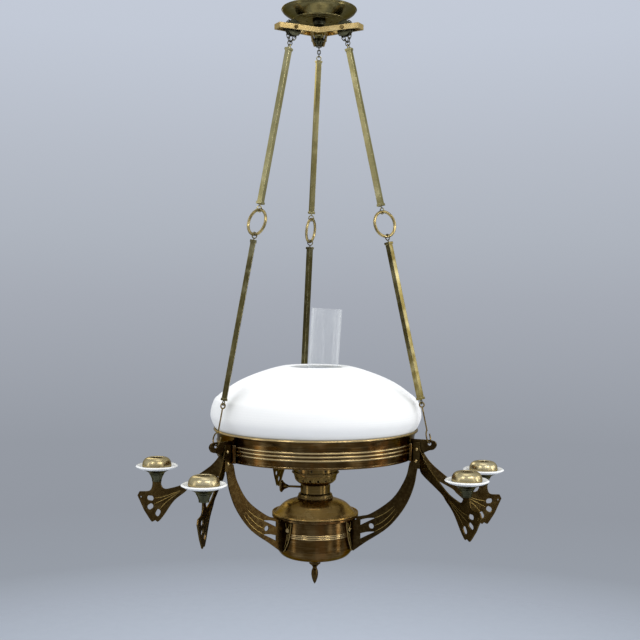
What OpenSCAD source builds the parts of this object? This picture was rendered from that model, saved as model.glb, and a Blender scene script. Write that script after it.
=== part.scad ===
// Hanging oil lamp of brass: three strands of chain, square rod and ring carry a shade ring,
// three curved brackets hold the oil font, and each bracket bears two pierced candle plates.
// Lengths are millimetres. The origin is the centre of the hanging eye, with +Z up.

/* [Ceiling fitting] */
// Bore of the hanging eye
eye_bore = 14; // [10:0.5:20]
// Thickness of metal around the eye's bore
eye_wall = 4; // [3:0.5:7]
// Width of the eye along its bore
eye_w = 6; // [4:0.5:9]
// Diameter of the stem from the eye to the spreader
stem_d = 8; // [6:0.5:11]
// Eye centre down to the rim of the canopy
canopy_drop = 27; // [20:1:45]
// Radius of the canopy's rim
canopy_r = 49.8; // [44:0.2:60]
// Depth of the canopy dish
canopy_h = 14; // [10:0.5:20]
// Radius of the canopy's flat floor
canopy_floor_r = 33; // [25:0.5:38]
// Length of the turned spacer under the canopy
spacer_l = 13.5; // [11:0.5:20]
// Radius of the turned spacer
spacer_r = 8.7; // [7:0.1:11]

/* [Spreader and pulleys] */
// Reach of each spreader arm from the lamp's axis
arm_reach = 63; // [58:1:75]
// Width across the end of a spreader arm
arm_w = 15; // [13:0.5:20]
// Distance of the notches between the arms from the axis
notch_r = 13; // [12:0.5:22]
// Height of the strip that the spreader is bent from
strip_h = 7; // [5:0.5:10]
// Thickness of that strip
strip_t = 2; // [1.5:0.1:3]
// Distance of the pulley pins from the axis
pin_reach = 39.5; // [36:0.5:44]
// Diameter of a pulley pin
pin_d = 3; // [2:0.1:4]
// Radius of the chain's path round a pulley
chain_path_r = 9.6; // [9.2:0.1:13]

/* [Chain] */
// Thickness of the chain's wire
link_wire = 1.2; // [1:0.05:1.4]
// Pitch of the chain
link_pitch = 4.8; // [4.4:0.1:5.4]
// Radius of a link's round ends, at the middle of the wire
link_end_r = 2; // [1.9:0.05:2.4]
// Links on each side between the pulley and the join ring
lead_links = 3; // [3:1:4]
// Radius of the join ring, at the middle of the wire
join_r = 3.2; // [3:0.1:4]
// Play between two links that hang in one another
link_play = 0.6; // [0.5:0.05:0.7]

/* [Strands] */
// Side of the square rods
rod_side = 6.6; // [5:0.1:8]
// Length of an upper rod
upper_rod_l = 212; // [150:1:300]
// Length of a lower rod
lower_rod_l = 208; // [150:1:300]
// Side of the caps on the rods' ends
cap_side = 8.2; // [8:0.1:10]
// Thickness of the caps
cap_t = 3; // [2:0.5:5]
// Thickness of the wire of the rods' eyes
rod_wire = 1.4; // [1.2:0.1:1.8]
// Radius of a rod's small eyes, at the middle of the wire
rod_eye_r = 2.9; // [2.7:0.1:3.6]
// Radius of the eyes that hold the link ring
ring_eye_r = 3.9; // [3.7:0.1:5]
// Length of bare wire between a rod's cap and the link ring's eye
ring_stem = 2.6; // [1.5:0.1:8]
// Thickness of the link ring's wire
ring_wire = 3.7; // [3:0.1:4]
// Outer diameter of the link rings
ring_od = 36.7; // [30:0.1:45]
// Gap at which a link ring hangs in its eyes
ring_gap = 0.3; // [0.25:0.05:0.5]
// Thickness of the hook wire
hook_wire = 1.8; // [1.4:0.1:2.2]
// Radius of the hook's small eye
hook_eye_r = 3.1; // [2.9:0.1:4]
// Radius of the hook's open hoop
hoop_r = 8.2; // [5:0.1:9]
// Length of a hook, from its eye to the foot of its hoop
hook_l = 50; // [35:1:80]
// How far the lamp hangs twisted on its strands, in degrees
strand_twist = 8; // [0:0.5:9]

/* [Shade ring and shade] */
// Outer radius of the shade ring's wall
ring_r = 131.8; // [125:0.2:140]
// Height of the shade ring
ring_h = 35.7; // [30:0.1:45]
// How far the ring's lip flares outward
lip_flare = 4.5; // [3:0.1:6]
// Height of the flared lip
lip_h = 13.5; // [10:0.5:15]
// Thickness of sheet brass in the ring and the vessels
sheet_t = 1.2; // [0.8:0.1:1.6]
// Radius of the beads round the ring
bead_r = 1.2; // [0.6:0.1:1.4]
// Spacing of those beads
bead_step = 4.6; // [3:0.1:6]
// Width of the ledge that the shade stands on
ledge_w = 8; // [5:0.5:12]
// Depth of the ledge below the lip
ledge_drop = 6.6; // [4:0.1:9]
// Largest radius of the glass shade
shade_r = 141; // [132:0.5:146]
// Height of the shade above the lip
shade_h = 82; // [65:1:100]
// Radius of the opening at the top of the shade
shade_hole_r = 35; // [33:0.5:42]
// Thickness of the shade's glass
shade_t = 2.6; // [2:0.1:4]

/* [Brackets and candle plates] */
// Thickness of the bracket plates
bracket_t = 2.2; // [1.6:0.1:3]
// Distance of the lug holes from the lamp's axis
lug_reach = 158; // [150:1:170]
// Depth of the lug holes below the ring's lip
lug_drop = 12.5; // [11:0.5:15]
// Diameter of the lug holes
lug_hole_d = 5; // [4.6:0.1:5.4]
// Thickness of the candle plates
plate_t = 1.6; // [1.2:0.1:2]
// Distance of the plates' bend from the ring's wall
bend_out = 14.2; // [13:0.2:17]
// Bend of each bracket's two plates, clockwise one first, in degrees
plate_bend = [[59, 43], [37, 45], [27, 15]]; // [12:1:62]
// How far each plate sags at its candle, in the same order
plate_sag = [[0, 0], [1, 8], [0, 6]]; // [0:0.5:9]
// Distance from the bend to the candle's axis
candle_reach = 94.7; // [85:0.5:110]
// Depth of a plate's neck, where the candle holder stands, below the lip
neck_drop = 64.5; // [58:0.5:70]
// Width of that neck
neck_w = 12.3; // [11:0.1:14]
// How far a plate's blade reaches past the candle's axis
blade_out = 28.3; // [24:0.1:34]
// Depth of the blade below the neck
blade_drop = 52.6; // [46:0.2:60]
// Length of the slots pierced in the blade
pierce_l = 10; // [8:0.1:11]
// Width of those slots
pierce_w = 6.4; // [4:0.1:7]
// Diameter of the rivets
rivet_d = 3.2; // [2.4:0.1:4]

/* [Candle holders] */
// Diameter of the candle bore
candle_d = 15.5; // [13:0.1:16]
// Depth of the candle bore
candle_depth = 20; // [16:0.5:21]
// Height of the turned vase
vase_h = 15.5; // [13:0.5:20]
// Radius of the vase's rim
vase_r = 15.5; // [14:0.5:18]
// Radius of the drip pan
pan_r = 27; // [24:0.5:32]
// Thickness of the drip pan
pan_t = 2; // [1.6:0.1:3]
// How far the drip pan's rim is turned up
pan_rise = 4; // [2:0.1:6]
// Radius of the domed cap
dome_r = 18.7; // [17:0.1:20]
// Height of the domed cap
dome_h = 13; // [12:0.2:20]
// Thickness of metal under the candle bore
bore_floor = 1.2; // [0.8:0.1:2]

/* [Font and its holder] */
// Outer radius of the font holder
holder_r = 51; // [46:0.5:56]
// Depth of the holder's rim below the lip of the shade ring
holder_drop = 115.7; // [105:0.5:125]
// Height of the holder
holder_h = 58; // [50:0.2:65]
// Radius of the rims of font and holder
rim_r = 58; // [55:0.5:61]
// Height of each of those rims
rim_h = 3.5; // [2.5:0.1:4.5]
// Radius of the holder's flat foot
foot_r = 34; // [28:0.5:40]
// Height of the font's dome above its rim
dome_rise = 16.4; // [12:0.2:20]
// Depth of the font below its rim
font_depth = 35; // [25:0.5:37]
// Width of a shield at its top
shield_w = 30; // [24:1:36]
// Height of a shield
shield_h = 42; // [36:1:46]
// Length of the finial
finial_l = 38; // [30:1:50]

/* [Burner and chimney] */
// Radius of the burner's knurled collar
collar_r = 22.8; // [21:0.1:26]
// Height of the collar
collar_h = 7.5; // [6:0.1:10]
// Radius of the burner's body
burner_r = 20; // [18:0.1:20.6]
// Height of the burner's body
burner_h = 11.9; // [11:0.1:16]
// Radius of the gallery's lip
gallery_r = 31.6; // [31.6:0.1:34]
// Height of the gallery's bowl
gallery_h = 17.4; // [15:0.1:22]
// Radius of the crown that holds the chimney
crown_r = 29.4; // [29.3:0.1:29.8]
// Height of the crown
crown_h = 12; // [8:0.5:16]
// Radius of the wick tube
tube_r = 9.4; // [8:0.1:10]
// Radius of the wick knob
knob_r = 8; // [6:0.1:10]
// Distance of the knob's face from the lamp's axis
knob_reach = 48; // [44:0.5:60]
// Diameter of the wick spindle
spindle_d = 3; // [2.4:0.1:4]
// Radius of the chimney's foot
foot_glass_r = 25.8; // [24.5:0.1:26]
// Radius of the chimney's tube
chimney_r = 20.5; // [18:0.1:21]
// Height of the chimney
chimney_h = 220; // [180:1:260]
// Thickness of the chimney's glass
chimney_t = 1.6; // [1.2:0.1:2]
// How far the loose chimney leans, in degrees
chimney_lean = 3.2; // [0:0.1:3.4]

/* [Hidden] */
$fn = 48;
// Bearings are turned from -Y towards +X
bearings = [-60, 60, 180];
arm_bearings = [for (b = bearings) b - strand_twist];
knob_bearing = -108;
lean_bearing = 82;
// Turn of each strand's square rods and link ring about the strand
upper_turn = [28, -2, 18];
lower_turn = [60, -15, 45];
ring_turn = [14, -25, 69];
// Clearances: running fits, plates that lie together, loose seats
run_gap = 0.05;
lie_gap = 0.02;
seat_gap = 0.3;
// Play of the hook in the lug hole
hook_play = 0.7;
eps = 0.01;
// How far the wedge in a plate's bend lies inside the plate's faces
wedge_ease = 0.06;

brass = [0.45, 0.36, 0.17];
pale_brass = [0.62, 0.56, 0.36];
gold = [0.80, 0.64, 0.32];
bronze = [0.25, 0.27, 0.20];
opal = [0.96, 0.96, 0.94];
glass = [0.82, 0.88, 0.90, 0.5];
cotton = [0.90, 0.86, 0.76];

// Heights from the eye down to the pulley pins
canopy_z = -canopy_drop - canopy_h;
hub_t = 4;
hub_z = canopy_z - spacer_l;
pin_z = hub_z - hub_t / 2;
// Taper of the spreader's arms, and half of their outer width at radius r
arm_taper = (notch_r * sin(60) - arm_w / 2) / (arm_reach - notch_r * cos(60));
function arm_half(r) = arm_w / 2 + (arm_reach - r) * arm_taper;
// Half of the arms' clear width at radius r
function arm_clear(r) = arm_half(r) - strip_t / cos(atan(arm_taper));

// Chain: a link's straight half, its angle on the pulley, and the join ring's distance
link_reach = link_wire / 2 + link_play / 2;
link_half = link_pitch / 2 + link_reach - link_end_r;
link_angle = 2 * atan(link_pitch / 2 / chain_path_r);
wrap_links = 2 * round((250 / link_angle - 1) / 2) + 1;
wrap_half = wrap_links * link_angle / 2;
wrap_r = chain_path_r / cos(link_angle / 2);
lead_l = lead_links * link_pitch + join_r - link_reach;
join_t = -wrap_r * cos(wrap_half) + sqrt(pow(lead_l, 2) - pow(wrap_r * sin(wrap_half), 2));
v_angle = asin(wrap_r * sin(wrap_half) / lead_l);

// Stations along a strand, measured from the pulley pin
link_ring_r = (ring_od - ring_wire) / 2;
ring_hang = ring_eye_r - rod_wire / 2 - ring_wire / 2 - ring_gap;
eye_1 = join_t + join_r + rod_eye_r - link_wire / 2 - rod_wire / 2 - link_play;
rod_1 = eye_1 + rod_eye_r;
eye_2 = rod_1 + upper_rod_l + ring_stem + ring_eye_r;
ring_t = eye_2 + ring_hang + link_ring_r;
eye_3 = ring_t + link_ring_r + ring_hang;
rod_2 = eye_3 + ring_eye_r + ring_stem;
eye_4 = rod_2 + lower_rod_l + rod_eye_r;
hook_t = eye_4 + rod_eye_r + hook_eye_r - rod_wire / 2 - hook_wire / 2 - link_play;
strand_l = hook_t + hook_l;
// The chain stays in its pulley's plane, and the strand below the join ring swings to its lug
pivot_t = join_t + join_r - link_reach;
strand_swing = asin(lug_reach * sin(strand_twist) / (strand_l - pivot_t));
fall_l = pivot_t + (strand_l - pivot_t) * cos(strand_swing);
strand_lean = asin((lug_reach * cos(strand_twist) - pin_reach) / fall_l);
// Height of the shade ring's lip, which the strands' length sets
hook_z = pin_z - fall_l * cos(strand_lean);
lip_z = hook_z - (lug_hole_d / 2 - hook_wire / 2 - hook_play) + lug_drop;

// Places on the hanging frame, measured from the lip
bend_r = ring_r + bend_out;
root_r = ring_r + bead_r + seat_gap / 2;
flange_r = root_r + 3.6;
flange_y = bracket_t / 2 + plate_t / 2 + lie_gap;
shield_r = holder_r + 0.8;
shield_t = 1.2;
web_r = shield_r + shield_t + lie_gap;
shield_z = -holder_drop - rim_h - seat_gap;
foot_z = -holder_drop - holder_h;
rim_z = -holder_drop + seat_gap;
neck_z = rim_z + rim_h + dome_rise - 0.3;
collar_z = neck_z + lie_gap;
burner_z = collar_z + collar_h + lie_gap;
gallery_z = burner_z + burner_h + lie_gap;
shelf_z = gallery_z + gallery_h - 3;
spindle_z = burner_z + burner_h * 0.6;
foot_tilt = foot_glass_r * sin(chimney_lean);
chimney_z = shelf_z + foot_tilt * 1.02 + seat_gap;
chimney_shift = 1.2;
vase_bore_r = candle_d / 2 + 1.5;
nozzle_r = vase_bore_r - seat_gap;
nozzle_depth = candle_depth + bore_floor - dome_h - pan_t - 2 * seat_gap;
vase_top = -neck_drop + vase_h;
pan_z = vase_top + seat_gap;
cap_z = pan_z + pan_t + seat_gap;
// Places of the two rivets that go through each bracket and its plates
rivet_at = [[(flange_r + bend_r) / 2, -lug_drop - 8], [(flange_r + bend_r) / 2 - 0.8, -ring_h]];
// A point of the curved arm: a from the holder out to the ring, b from the ring down to its tip
arm_tip_z = shield_z - shield_h + 0.3;
function arm_point(a, b) =
  [holder_r + a * (ring_r - holder_r), -ring_h + b * (arm_tip_z + ring_h)];

// Smooth curve through a few points, with a number of steps between each two
function blend(a, b, c, d, t) =
  0.5 * (2 * b + (c - a) * t + (2 * a - 5 * b + 4 * c - d) * t * t + (3 * b - a - 3 * c + d) * t * t * t);
function curve(p, steps = 5) =
  let (n = len(p))
  concat(
    [for (i = [0:n - 2], j = [0:steps - 1])
      blend(
        i == 0 ? 2 * p[0] - p[1] : p[i - 1], p[i], p[i + 1],
        i == n - 2 ? 2 * p[n - 1] - p[n - 2] : p[i + 2], j / steps)],
    [p[n - 1]]
  );
// The same path moved sideways to its left, and its points in reverse
function unit(v) = v / norm(v);
function beside(p, d) =
  [for (i = [0:len(p) - 1])
    let (v = unit(p[min(i + 1, len(p) - 1)] - p[max(i - 1, 0)]))
    p[i] + d * [-v[1], v[0]]];
function backward(p) = [for (i = [len(p) - 1:-1:0]) p[i]];
// Closed outline of a wall that follows a path, thick towards the path's left
function wall(p, t) = concat(p, backward(beside(p, t)));

// Places: on a bearing, at a pulley, along its chain and strand, on the hanging frame, on a candle plate
module at_bearing(b) {
  rotate([0, 0, b - 90]) children();
}
module on_pulley(k) {
  at_bearing(arm_bearings[k]) translate([pin_reach, 0, pin_z]) children();
}
module on_chain(k) {
  on_pulley(k) rotate([0, -strand_lean, 0]) children();
}
module on_strand(k, t) {
  on_chain(k) translate([0, 0, -pivot_t])
    rotate([strand_swing, 0, 0]) translate([0, 0, pivot_t - t]) children();
}
module on_frame() {
  translate([0, 0, lip_z]) children();
}
// Plate k counts round the brackets, two to each, the clockwise one first
function sag_of(k) = plate_sag[floor(k / 2)][k % 2];
module on_plate(k) {
  arm = floor(k / 2);
  side = k % 2 == 0 ? -1 : 1;
  at_bearing(bearings[arm])
    translate([bend_r, side * flange_y, lip_z])
      rotate([0, 0, side * plate_bend[arm][k % 2]]) children();
}

module at_candle(k) {
  on_plate(k) translate([candle_reach, 0, -sag_of(k)]) children();
}

module ring(r, w) {
  rotate_extrude() translate([r, 0]) circle(d = w);
}
// Flat plate of a given thickness, standing in the XZ plane, from an outline in x and z
module standing(t) {
  translate([0, t / 2, 0]) rotate([90, 0, 0]) linear_extrude(t) children();
}
// Round-ended slot in an outline
module slot(l, w) {
  square([l - w, w], center = true);
  for (s = [-1, 1]) translate([s * (l - w) / 2, 0]) circle(d = w);
}
// Straight strip on edge between two points of the plan
module strip(a, b, t, h) {
  translate([a[0], a[1], -h / 2])
    rotate([0, 0, atan2(b[1] - a[1], b[0] - a[0])])
      translate([-t / 2, -t / 2, 0]) cube([norm(b - a) + t, t, h]);
}

module suspension_eye() {
  eye_out = eye_bore / 2 + eye_wall;
  stem_end = hub_z - hub_t - 4;
  color(brass) difference() {
    union() {
      rotate([90, 0, 0]) cylinder(r = eye_out, h = eye_w, center = true);
      translate([0, 0, stem_end]) cylinder(d = stem_d, h = -stem_end - eye_bore / 2);
      translate([0, 0, stem_end]) cylinder(d = stem_d + 6, h = 4 - lie_gap);
    }
    rotate([90, 0, 0]) cylinder(d = eye_bore, h = 3 * eye_w, center = true);
  }
}

module canopy() {
  floor_z = -canopy_h;
  flank = curve([
    [canopy_floor_r, floor_z],
    [canopy_floor_r + (canopy_r - canopy_floor_r) * 0.42, floor_z + canopy_h * 0.32],
    [canopy_r - 2, floor_z + canopy_h * 0.72],
    [canopy_r, 0]
  ]);
  dish = concat([[stem_d / 2 + run_gap, floor_z]], flank);
  color(brass) translate([0, 0, -canopy_drop]) rotate_extrude() {
    polygon(wall(dish, sheet_t));
    translate([canopy_r - sheet_t / 2, 0]) circle(r = sheet_t);
    for (r = [0.55, 0.8, 1.02])
      translate([canopy_floor_r * r, floor_z + sheet_t / 2]) circle(r = sheet_t * 0.9);
  }
}

module canopy_spacer() {
  waist = curve([
    [spacer_r, -3], [spacer_r * 0.78, -spacer_l * 0.45], [spacer_r * 0.95, -spacer_l + 2]
  ]);
  bore = stem_d / 2 + run_gap;
  top = canopy_z - sheet_t * 0.4 - lie_gap;
  foot = hub_z + lie_gap;
  color(bronze) intersection() {
    translate([0, 0, canopy_z]) rotate_extrude() polygon(concat(
      [[bore, 0], [spacer_r, 0]], waist, [[spacer_r * 0.95, -spacer_l], [bore, -spacer_l]]
    ));
    translate([0, 0, foot]) cylinder(r = 2 * spacer_r, h = top - foot);
  }
}

module spreader_frame() {
  end = [arm_reach - strip_t / 2, arm_w / 2 - strip_t / 2];
  notch = (notch_r - strip_t / 2) * [cos(60), sin(60)];
  color(gold) translate([0, 0, pin_z]) difference() {
    union() {
      for (b = arm_bearings) at_bearing(b) {
        for (s = [-1, 1])
          strip([notch[0], s * notch[1]], [end[0], s * end[1]], strip_t, strip_h);
        strip([end[0], -end[1]], end, strip_t, strip_h);
      }
      cylinder(r = notch_r - strip_t / 2, h = hub_t, center = true);
    }
    cylinder(d = stem_d + 2 * run_gap, h = 2 * strip_h, center = true);
    for (b = arm_bearings) at_bearing(b) translate([pin_reach, 0, 0])
      rotate([90, 0, 0]) cylinder(d = pin_d + 2 * run_gap, h = 4 * arm_w, center = true);
  }
}

module pulley_pins() {
  head_r = pin_d / 2 + 1;
  head_y = arm_half(pin_reach - head_r) + run_gap;
  color(gold) for (k = [0:2]) on_pulley(k) rotate([90, 0, 0]) {
    cylinder(d = pin_d, h = 2 * head_y + 1, center = true);
    for (s = [-1, 1]) translate([0, 0, s * (head_y + 0.6)]) cylinder(r = head_r, h = 1.2, center = true);
  }
}

module pulley_wheel(k) {
  link_out = link_end_r + link_wire / 2;
  floor_r = chain_path_r - link_out - seat_gap - 0.05;
  flange_out = chain_path_r + 0.7;
  groove = link_out + 0.4;
  half = groove + 1;
  hub_r = pin_d / 2 + 2.5;
  hub_half = arm_clear(pin_reach + hub_r) - seat_gap;
  bore = pin_d / 2 + run_gap;
  color(brass) on_pulley(k) rotate([90, 0, 0])
    rotate_extrude() polygon([
      [bore, -hub_half], [hub_r, -hub_half], [hub_r, -half], [flange_out, -half],
      [flange_out, -groove], [floor_r, -groove + 0.5], [floor_r, groove - 0.5], [flange_out, groove],
      [flange_out, half], [hub_r, half], [hub_r, hub_half], [bore, hub_half]
    ]);
}

// One link along X, flat in the XY plane
module link() {
  for (s = [-1, 1]) {
    translate([0, s * link_end_r, 0]) rotate([0, 90, 0])
      cylinder(d = link_wire, h = 2 * link_half, center = true);
    translate([s * link_half, 0, 0]) rotate([0, 0, -s * 90])
      rotate_extrude(angle = 180) translate([link_end_r, 0]) circle(d = link_wire);
  }
}

// Closed loop of links over the pulley, with both ends in the join ring
module chain_loop(k) {
  lead_mid = [wrap_r * sin(wrap_half), wrap_r * cos(wrap_half)];
  color(bronze) on_chain(k) {
    for (i = [0:wrap_links - 1]) {
      turn = (i - (wrap_links - 1) / 2) * link_angle;
      upright = (i + lead_links) % 2 == 1;
      rotate([0, turn, 0]) translate([0, 0, chain_path_r]) rotate([upright ? 90 : 0, 0, 0]) link();
    }
    for (s = [-1, 1], i = [0:lead_links - 1]) {
      along = (i + 0.5) * link_pitch;
      upright = (lead_links - 1 - i) % 2 == 1;
      translate([s * (lead_mid[0] - along * sin(v_angle)), 0, lead_mid[1] - along * cos(v_angle)])
        rotate([0, s * (90 + v_angle), 0]) rotate([upright ? 90 : 0, 0, 0]) link();
    }
    translate([0, 0, -join_t]) rotate([90, 0, 0]) ring(join_r, link_wire);
  }
}

// Square rod of length l below its upper end, with capped ends
module capped_rod(l, turn) {
  rotate([0, 0, turn]) {
    translate([-rod_side / 2, -rod_side / 2, -l]) cube([rod_side, rod_side, l]);
    for (z = [-cap_t, -l]) translate([-cap_side / 2, -cap_side / 2, z]) cube([cap_side, cap_side, cap_t]);
  }
}
// Wire eye round a link ring, with the bare stem that joins it to its rod
module ring_eye(turn, up) {
  rotate([0, 0, turn]) rotate([90, 0, 0]) ring(ring_eye_r, rod_wire);
  translate([0, 0, up ? ring_eye_r : -ring_eye_r - ring_stem - eps])
    cylinder(d = rod_wire, h = ring_stem + eps);
}

module upper_rod(k) {
  color(pale_brass) {
    on_strand(k, rod_1) capped_rod(upper_rod_l, upper_turn[k]);
    on_strand(k, eye_1) rotate([0, 90, 0]) ring(rod_eye_r, rod_wire);
    on_strand(k, eye_2) ring_eye(ring_turn[k], true);
  }
}

module link_ring(k) {
  color(pale_brass) on_strand(k, ring_t)
    rotate([0, 0, ring_turn[k]]) rotate([0, 90, 0]) ring(link_ring_r, ring_wire);
}

module lower_rod(k) {
  color(pale_brass) {
    on_strand(k, rod_2) capped_rod(lower_rod_l, lower_turn[k]);
    on_strand(k, eye_3) ring_eye(ring_turn[k], false);
    on_strand(k, eye_4) rotate([0, 90, 0]) ring(rod_eye_r, rod_wire);
  }
}

module lug_hook(k) {
  shank_l = hook_l - 2 * hoop_r - hook_eye_r;
  color(brass) on_strand(k, hook_t) rotate([0, 0, strand_twist]) {
    rotate([90, 0, 0]) ring(hook_eye_r, hook_wire);
    translate([0, 0, -hook_eye_r - shank_l]) cylinder(d = hook_wire, h = shank_l);
    translate([0, 0, -hook_l + hoop_r]) rotate([0, 90, 0]) rotate([0, 0, 180])
      rotate_extrude(angle = 290) translate([hoop_r, 0]) circle(d = hook_wire);
  }
}

module shade_ring() {
  lip = curve([
    [ring_r, -lip_h], [ring_r + lip_flare * 0.13, -lip_h * 0.6],
    [ring_r + lip_flare * 0.5, -lip_h * 0.22], [ring_r + lip_flare, 0]
  ]);
  color(brass) on_frame() rotate_extrude($fn = 96) {
    polygon(wall(concat([[ring_r, -ring_h]], lip), sheet_t));
    translate([ring_r - ledge_w, -ledge_drop - sheet_t])
      square([ledge_w + lip_flare * 0.13 - sheet_t / 2, sheet_t]);
    for (i = [0:2]) translate([ring_r, -lip_h - 2 - i * bead_step]) circle(r = bead_r);
    translate([ring_r - sheet_t / 2, -ring_h + bead_r]) circle(r = bead_r);
    translate([ring_r + lip_flare - sheet_t / 2, -sheet_t]) circle(r = sheet_t);
  }
}

// Clips on both sides of each bracket that hold it to the ring
module ring_clasps() {
  clip_r = flange_r - root_r - seat_gap;
  clip_h = ring_h - lip_h + 0.8;
  color(brass) on_frame() for (b = bearings, s = [-1, 1]) at_bearing(b)
    translate([root_r, s * (bracket_t / 2 + clip_r + lie_gap), -ring_h])
      rotate([0, 0, -90]) rotate_extrude(angle = 180) square([clip_r, clip_h]);
}

module rivets() {
  half = bracket_t / 2 + plate_t + 2 * lie_gap;
  color(gold) on_frame() for (b = bearings) at_bearing(b) {
    for (p = rivet_at) translate([p[0], 0, p[1]]) rotate([90, 0, 0]) {
      cylinder(d = rivet_d, h = 2 * half, center = true);
      for (s = [0, 180]) rotate([s, 0, 0]) translate([0, 0, half]) dome(rivet_d * 0.72, rivet_d * 0.4);
    }
    for (s = [-1, 1]) rotate([0, 0, s * shield_w * 0.26 / shield_r * 57.3])
      translate([shield_r + shield_t + lie_gap * 2, 0, shield_z - shield_h * 0.28]) rotate([0, 90, 0])
        for (a = [0:60:300]) rosette_petal(a);
  }
}
// Low round head, r wide and h high
module dome(r, h) {
  ball = (r * r + h * h) / (2 * h);
  intersection() {
    translate([0, 0, h - ball]) sphere(r = ball);
    cylinder(r = r, h = h);
  }
}
module rosette_petal(a) {
  rotate([0, 0, a]) translate([1.7, 0, 0]) dome(1.3, 0.9);
}

module bracket(k) {
  lug_z = -lug_drop;
  lug = curve([
    [lug_reach + 1, lug_z + 5], [lug_reach + 7.3, lug_z + 3.2], [lug_reach + 9.5, lug_z - 1.5],
    [lug_reach + 6, lug_z - 7], [lug_reach, lug_z - 8.6]
  ]);
  outer = curve([
    arm_point(1.126, 0.083), arm_point(1.064, 0.285), arm_point(0.916, 0.499),
    arm_point(0.644, 0.718), arm_point(0.26, 0.897), arm_point(0.05, 1)
  ]);
  inner = curve([
    [rim_r + 6, shield_z + rim_h + 1.8], arm_point(0.359, 0.583), arm_point(0.718, 0.408),
    arm_point(0.928, 0.193), [ring_r, -ring_h - 2.5]
  ]);
  outline = concat(
    [[root_r, lug_z + 5]], lug, [[bend_r + 5, lug_z - 12], [bend_r + 0.5, lug_z - 19]],
    outer, [[web_r, arm_tip_z + 2], [web_r, shield_z]],
    [[rim_r + 1, shield_z], [rim_r + 1, shield_z + rim_h + 0.8]],
    inner, [[root_r, -ring_h - 1.5]]
  );
  slot_end = web_r + 11.5;
  color(brass) on_frame() at_bearing(bearings[k]) standing(bracket_t) difference() {
    polygon(outline);
    translate([lug_reach, lug_z]) circle(d = lug_hole_d);
    for (p = rivet_at) translate(p) circle(d = rivet_d + 2 * run_gap);
    for (z = [4.8, -13.3]) translate([slot_end, shield_z + z]) polygon(concat(
      curve([[0, -4.3], [10, -1.3], [19.8, 0]]), curve([[19.8, -0.6], [11, -5.2], [0, -11.3]])
    ));
    translate([slot_end + 15.5, shield_z - 6.4]) circle(r = 3.6);
  }
}

// Wedge, h high, that closes the outer side of a plate bent by a degrees
module bend_wedge(a, h) {
  half = plate_t / 2 - wedge_ease;
  linear_extrude(h) polygon([
    [-1, 0], [-1, -half], [half * tan(a / 2), -half],
    [cos(a) + half * sin(a), sin(a) - half * cos(a)], [cos(a), sin(a)]
  ]);
}

module candle_plate(k) {
  flange_top = -lug_drop + 1;
  flange_foot = -ring_h - 9.8;
  arm = floor(k / 2);
  side = k % 2 == 0 ? -1 : 1;
  n = candle_reach;
  nz = -neck_drop;
  fall = flange_top - nz;
  bend_top = flange_top - fall * 0.15;
  // A point lowered by the plate's sag, which grows from the bend to the blade
  function sag(p) = p - [0, sag_of(k) * min(1, p[0] / (n * 0.8))];
  // A point of the blade: a out from the candle's axis, b down from the neck
  function blade(a, b) = [n + a * blade_out, nz - b * blade_drop];
  edge = concat(
    curve([
      [0, bend_top], [n * 0.137, flange_top - fall * 0.453], [n * 0.3, nz + fall * 0.321],
      [n * 0.6, nz - blade_drop * 0.02], blade(-0.625, 0.152), blade(-0.413, 0.171)
    ]),
    curve([blade(-0.3, 0.148), [n - neck_w / 2, nz - blade_drop * 0.076]], 3),
    [[n - neck_w / 2, nz], [n + neck_w / 2, nz]],
    curve([
      [n + neck_w / 2, nz - blade_drop * 0.095], blade(0.283, 0.2), blade(0.46, 0.26), blade(0.894, 0.285)
    ]),
    [blade(1, 0.39)],
    curve([blade(0.647, 0.741), blade(0.283, 0.989), blade(0.177, 1)], 3),
    [blade(0.053, 0.962)],
    curve([
      blade(-0.053, 1), blade(-0.148, 0.964), blade(-0.378, 0.817), blade(-0.873, 0.456),
      [n * 0.58, nz - blade_drop * 0.228], [n * 0.475, nz - blade_drop * 0.086],
      [n * 0.074, flange_foot - 7], [0, flange_foot + 0.5]
    ])
  );
  // Pierced slots: place and turn of each
  slots = [[blade(0.329, 0.428), 0], [blade(0.329, 0.637), -32], [blade(-0.071, 0.772), -60]];
  color(brass) {
    on_plate(k) standing(plate_t) difference() {
      polygon([for (p = edge) sag(p)]);
      for (p = slots) translate(sag(p[0])) rotate(p[1]) slot(pierce_l, pierce_w);
      translate(sag(blade(0.823, 0.418))) circle(r = 1.2);
    }
    at_bearing(bearings[arm]) translate([0, side * flange_y, lip_z]) {
      standing(plate_t) difference() {
        translate([flange_r, flange_foot]) square([bend_r - flange_r, flange_top - flange_foot]);
        for (p = rivet_at) translate(p) circle(d = rivet_d + 2 * run_gap);
      }
      translate([bend_r, 0, flange_foot + 0.8]) mirror([0, side < 0 ? 1 : 0, 0])
        bend_wedge(plate_bend[arm][k % 2], bend_top - 2.3 - flange_foot);
    }
  }
}

module candle_vases() {
  flank = curve([
    [neck_w / 2, -neck_drop + lie_gap], [neck_w / 2 + 0.3, -neck_drop + 3],
    [neck_w / 2 + 2.2, -neck_drop + vase_h * 0.5], [vase_r - 4.5, vase_top - 3.6], [vase_r, vase_top - 1]
  ]);
  color(bronze) for (k = [0:5]) at_candle(k) rotate_extrude() polygon(concat(
    [[0, -neck_drop + lie_gap]], flank,
    [[vase_r, vase_top], [vase_bore_r, vase_top]],
    [[vase_bore_r, vase_top - nozzle_depth - 1], [0, vase_top - nozzle_depth - 1]]
  ));
}

module drip_pan(k) {
  flat_r = vase_r + 0.5;
  rise = curve([
    [flat_r, pan_z], [(flat_r + pan_r) / 2, pan_z + pan_rise * 0.23],
    [pan_r - 1, pan_z + pan_rise * 0.8], [pan_r, pan_z + pan_rise]
  ]);
  color(opal) at_candle(k) rotate_extrude()
    polygon(wall(concat([[vase_bore_r, pan_z]], rise), pan_t));
}

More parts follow.
